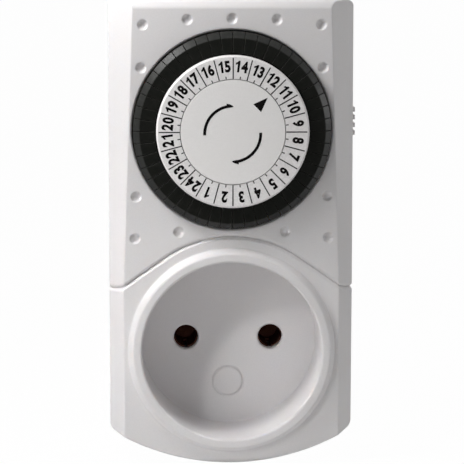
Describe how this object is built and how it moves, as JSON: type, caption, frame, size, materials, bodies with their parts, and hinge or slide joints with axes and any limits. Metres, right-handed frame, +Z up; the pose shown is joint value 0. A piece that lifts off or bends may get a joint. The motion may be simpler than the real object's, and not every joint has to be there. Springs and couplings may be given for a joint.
{
  "type": "plug in timer switch",
  "caption": "Mechanical day timer with a plug at the back, a switched round socket in front, and a turning dial ringed with sliding tappets.",
  "frame": {"origin": "middle of the plug face, on the plug's axis, between the two pins", "axes": "+Z up the body, +X to the right seen from the front, and +Y out of the back along the pins, so the front faces -Y"},
  "size_m": [0.0542, 0.0722, 0.1017],
  "materials": {
    "white_case_plastic": "satin white moulding, lightly glossy",
    "number_ring_plastic": "matt pale ring that carries plain printed numbers",
    "centre_disc_plastic": "matt pale disc with a printed pointer",
    "dial_carrier_plastic": "dark grey moulding",
    "black_tappet_plastic": "black moulding with a soft sheen",
    "steel": "plain steel",
    "nickel_plate": "nickel plated brass",
    "contact_brass": "stamped brass strip",
    "switch_base_plastic": "grey switch moulding",
    "movement_plastic": "natural gear moulding",
    "coil_copper": "enamelled copper winding",
    "rotor_magnet": "moulded magnet",
    "lead_insulation": "blue lead insulation"
  },
  "bodies": {
    "case": {"rear_housing": "white_case_plastic", "plug_body": "white_case_plastic", "timer_cover": "white_case_plastic", "socket_cover": "white_case_plastic", "centre_disc": "centre_disc_plastic", "housing_screws": "steel", "plate_screws": "steel", "gear_pins": "steel", "follower_pin": "steel", "motor_case": "steel", "motor_cover": "steel", "plug_pins": "nickel_plate", "fixed_contact": "nickel_plate", "left_socket_contact": "contact_brass", "right_socket_contact": "contact_brass", "neutral_bar": "contact_brass", "live_inlet_bar": "contact_brass", "live_outlet_bar": "contact_brass", "switch_base": "switch_base_plastic", "movement_plate": "movement_plastic", "dial_post": "movement_plastic", "motor_coil": "coil_copper", "motor_leads": "lead_insulation"},
    "dial": {"tappet_carrier": "dial_carrier_plastic", "number_ring": "number_ring_plastic"},
    "dial_drive": {"drive_arbor": "movement_plastic", "clutch_washer": "steel"},
    "rotor": {"rotor": "rotor_magnet"},
    "first_wheel": {"first_wheel": "movement_plastic"},
    "second_wheel": {"second_wheel": "movement_plastic"},
    "clutch_wheel": {"clutch_wheel": "movement_plastic"},
    "follower": {"follower_lever": "movement_plastic"},
    "leaf": {"contact_leaf": "contact_brass"},
    "slider": {"override_slider": "white_case_plastic"},
    "tappets_1": {"tappets_hour_1": "black_tappet_plastic"},
    "tappets_2": {"tappets_hour_2": "black_tappet_plastic"},
    "tappets_3": {"tappets_hour_3": "black_tappet_plastic"},
    "tappets_4": {"tappets_hour_4": "black_tappet_plastic"},
    "tappets_5": {"tappets_hour_5": "black_tappet_plastic"},
    "tappets_6": {"tappets_hour_6": "black_tappet_plastic"},
    "tappets_7": {"tappets_hour_7": "black_tappet_plastic"},
    "tappets_8": {"tappets_hour_8": "black_tappet_plastic"},
    "tappets_9": {"tappets_hour_9": "black_tappet_plastic"},
    "tappets_10": {"tappets_hour_10": "black_tappet_plastic"},
    "tappets_11": {"tappets_hour_11": "black_tappet_plastic"},
    "tappets_12": {"tappets_hour_12": "black_tappet_plastic"},
    "tappets_13": {"tappets_hour_13": "black_tappet_plastic"},
    "tappets_14": {"tappets_hour_14": "black_tappet_plastic"},
    "tappets_15": {"tappets_hour_15": "black_tappet_plastic"},
    "tappets_16": {"tappets_hour_16": "black_tappet_plastic"},
    "tappets_17": {"tappets_hour_17": "black_tappet_plastic"},
    "tappets_18": {"tappets_hour_18": "black_tappet_plastic"},
    "tappets_19": {"tappets_hour_19": "black_tappet_plastic"},
    "tappets_20": {"tappets_hour_20": "black_tappet_plastic"},
    "tappets_21": {"tappets_hour_21": "black_tappet_plastic"},
    "tappets_22": {"tappets_hour_22": "black_tappet_plastic"},
    "tappets_23": {"tappets_hour_23": "black_tappet_plastic"},
    "tappets_24": {"tappets_hour_24": "black_tappet_plastic"}
  },
  "joints": [
    {"name": "dial_turn", "type": "hinge", "parent": "case", "child": "dial", "pos_m": [0, -0.049, 0.0486], "axis": [0, 1, 0], "continuous": true},
    {"name": "drive_turn", "type": "hinge", "parent": "case", "child": "dial_drive", "pos_m": [-0.01015, -0.04, 0.04491], "axis": [0, 1, 0], "continuous": true},
    {"name": "rotor_turn", "type": "hinge", "parent": "case", "child": "rotor", "pos_m": [-0.003, -0.024, 0.0535], "axis": [0, 1, 0], "continuous": true},
    {"name": "first_turn", "type": "hinge", "parent": "case", "child": "first_wheel", "pos_m": [0.0074, -0.029, 0.05708], "axis": [0, 1, 0], "continuous": true},
    {"name": "second_turn", "type": "hinge", "parent": "case", "child": "second_wheel", "pos_m": [0.0015, -0.031, 0.0478], "axis": [0, 1, 0], "continuous": true},
    {"name": "clutch_turn", "type": "hinge", "parent": "case", "child": "clutch_wheel", "pos_m": [-0.01015, -0.033, 0.04491], "axis": [0, 1, 0], "continuous": true},
    {"name": "follower_rock", "type": "hinge", "parent": "case", "child": "follower", "pos_m": [0.0185, -0.0388, 0.033], "axis": [-1, 0, 0], "range_deg": [0, 8], "stiffness_Nm_per_rad": 0.004},
    {"name": "leaf_flex", "type": "hinge", "parent": "case", "child": "leaf", "pos_m": [0.0185, -0.035, 0.03125], "axis": [-1, 0, 0], "range_deg": [0, 7.4]},
    {"name": "slider_slide", "type": "slide", "parent": "case", "child": "slider", "axis": [0, 0, -1], "range_m": [0, 0.004]},
    {"name": "tappets_1_push", "type": "slide", "parent": "dial", "child": "tappets_1", "axis": [0, 1, 0], "range_m": [0, 0.0022]},
    {"name": "tappets_2_push", "type": "slide", "parent": "dial", "child": "tappets_2", "axis": [0, 1, 0], "range_m": [0, 0.0022]},
    {"name": "tappets_3_push", "type": "slide", "parent": "dial", "child": "tappets_3", "axis": [0, 1, 0], "range_m": [0, 0.0022]},
    {"name": "tappets_4_push", "type": "slide", "parent": "dial", "child": "tappets_4", "axis": [0, 1, 0], "range_m": [0, 0.0022]},
    {"name": "tappets_5_push", "type": "slide", "parent": "dial", "child": "tappets_5", "axis": [0, 1, 0], "range_m": [0, 0.0022]},
    {"name": "tappets_6_push", "type": "slide", "parent": "dial", "child": "tappets_6", "axis": [0, 1, 0], "range_m": [0, 0.0022]},
    {"name": "tappets_7_push", "type": "slide", "parent": "dial", "child": "tappets_7", "axis": [0, 1, 0], "range_m": [0, 0.0022]},
    {"name": "tappets_8_push", "type": "slide", "parent": "dial", "child": "tappets_8", "axis": [0, 1, 0], "range_m": [0, 0.0022]},
    {"name": "tappets_9_push", "type": "slide", "parent": "dial", "child": "tappets_9", "axis": [0, 1, 0], "range_m": [0, 0.0022]},
    {"name": "tappets_10_push", "type": "slide", "parent": "dial", "child": "tappets_10", "axis": [0, 1, 0], "range_m": [0, 0.0022]},
    {"name": "tappets_11_push", "type": "slide", "parent": "dial", "child": "tappets_11", "axis": [0, 1, 0], "range_m": [0, 0.0022]},
    {"name": "tappets_12_push", "type": "slide", "parent": "dial", "child": "tappets_12", "axis": [0, 1, 0], "range_m": [0, 0.0022]},
    {"name": "tappets_13_push", "type": "slide", "parent": "dial", "child": "tappets_13", "axis": [0, 1, 0], "range_m": [0, 0.0022]},
    {"name": "tappets_14_push", "type": "slide", "parent": "dial", "child": "tappets_14", "axis": [0, 1, 0], "range_m": [0, 0.0022]},
    {"name": "tappets_15_push", "type": "slide", "parent": "dial", "child": "tappets_15", "axis": [0, 1, 0], "range_m": [0, 0.0022]},
    {"name": "tappets_16_push", "type": "slide", "parent": "dial", "child": "tappets_16", "axis": [0, 1, 0], "range_m": [0, 0.0022]},
    {"name": "tappets_17_push", "type": "slide", "parent": "dial", "child": "tappets_17", "axis": [0, 1, 0], "range_m": [0, 0.0022]},
    {"name": "tappets_18_push", "type": "slide", "parent": "dial", "child": "tappets_18", "axis": [0, 1, 0], "range_m": [0, 0.0022]},
    {"name": "tappets_19_push", "type": "slide", "parent": "dial", "child": "tappets_19", "axis": [0, 1, 0], "range_m": [0, 0.0022]},
    {"name": "tappets_20_push", "type": "slide", "parent": "dial", "child": "tappets_20", "axis": [0, 1, 0], "range_m": [0, 0.0022]},
    {"name": "tappets_21_push", "type": "slide", "parent": "dial", "child": "tappets_21", "axis": [0, 1, 0], "range_m": [0, 0.0022]},
    {"name": "tappets_22_push", "type": "slide", "parent": "dial", "child": "tappets_22", "axis": [0, 1, 0], "range_m": [0, 0.0022]},
    {"name": "tappets_23_push", "type": "slide", "parent": "dial", "child": "tappets_23", "axis": [0, 1, 0], "range_m": [0, 0.0022]},
    {"name": "tappets_24_push", "type": "slide", "parent": "dial", "child": "tappets_24", "axis": [0, 1, 0], "range_m": [0, 0.0022]}
  ],
  "couplings": [
    {"joint": "drive_turn", "follows": "dial_turn", "ratio": 4.6},
    {"joint": "first_turn", "follows": "rotor_turn", "ratio": -0.22222},
    {"joint": "second_turn", "follows": "rotor_turn", "ratio": 0.049383},
    {"joint": "clutch_turn", "follows": "rotor_turn", "ratio": -0.0098765},
    {"joint": "leaf_flex", "follows": "follower_rock", "ratio": 0.9}
  ]
}
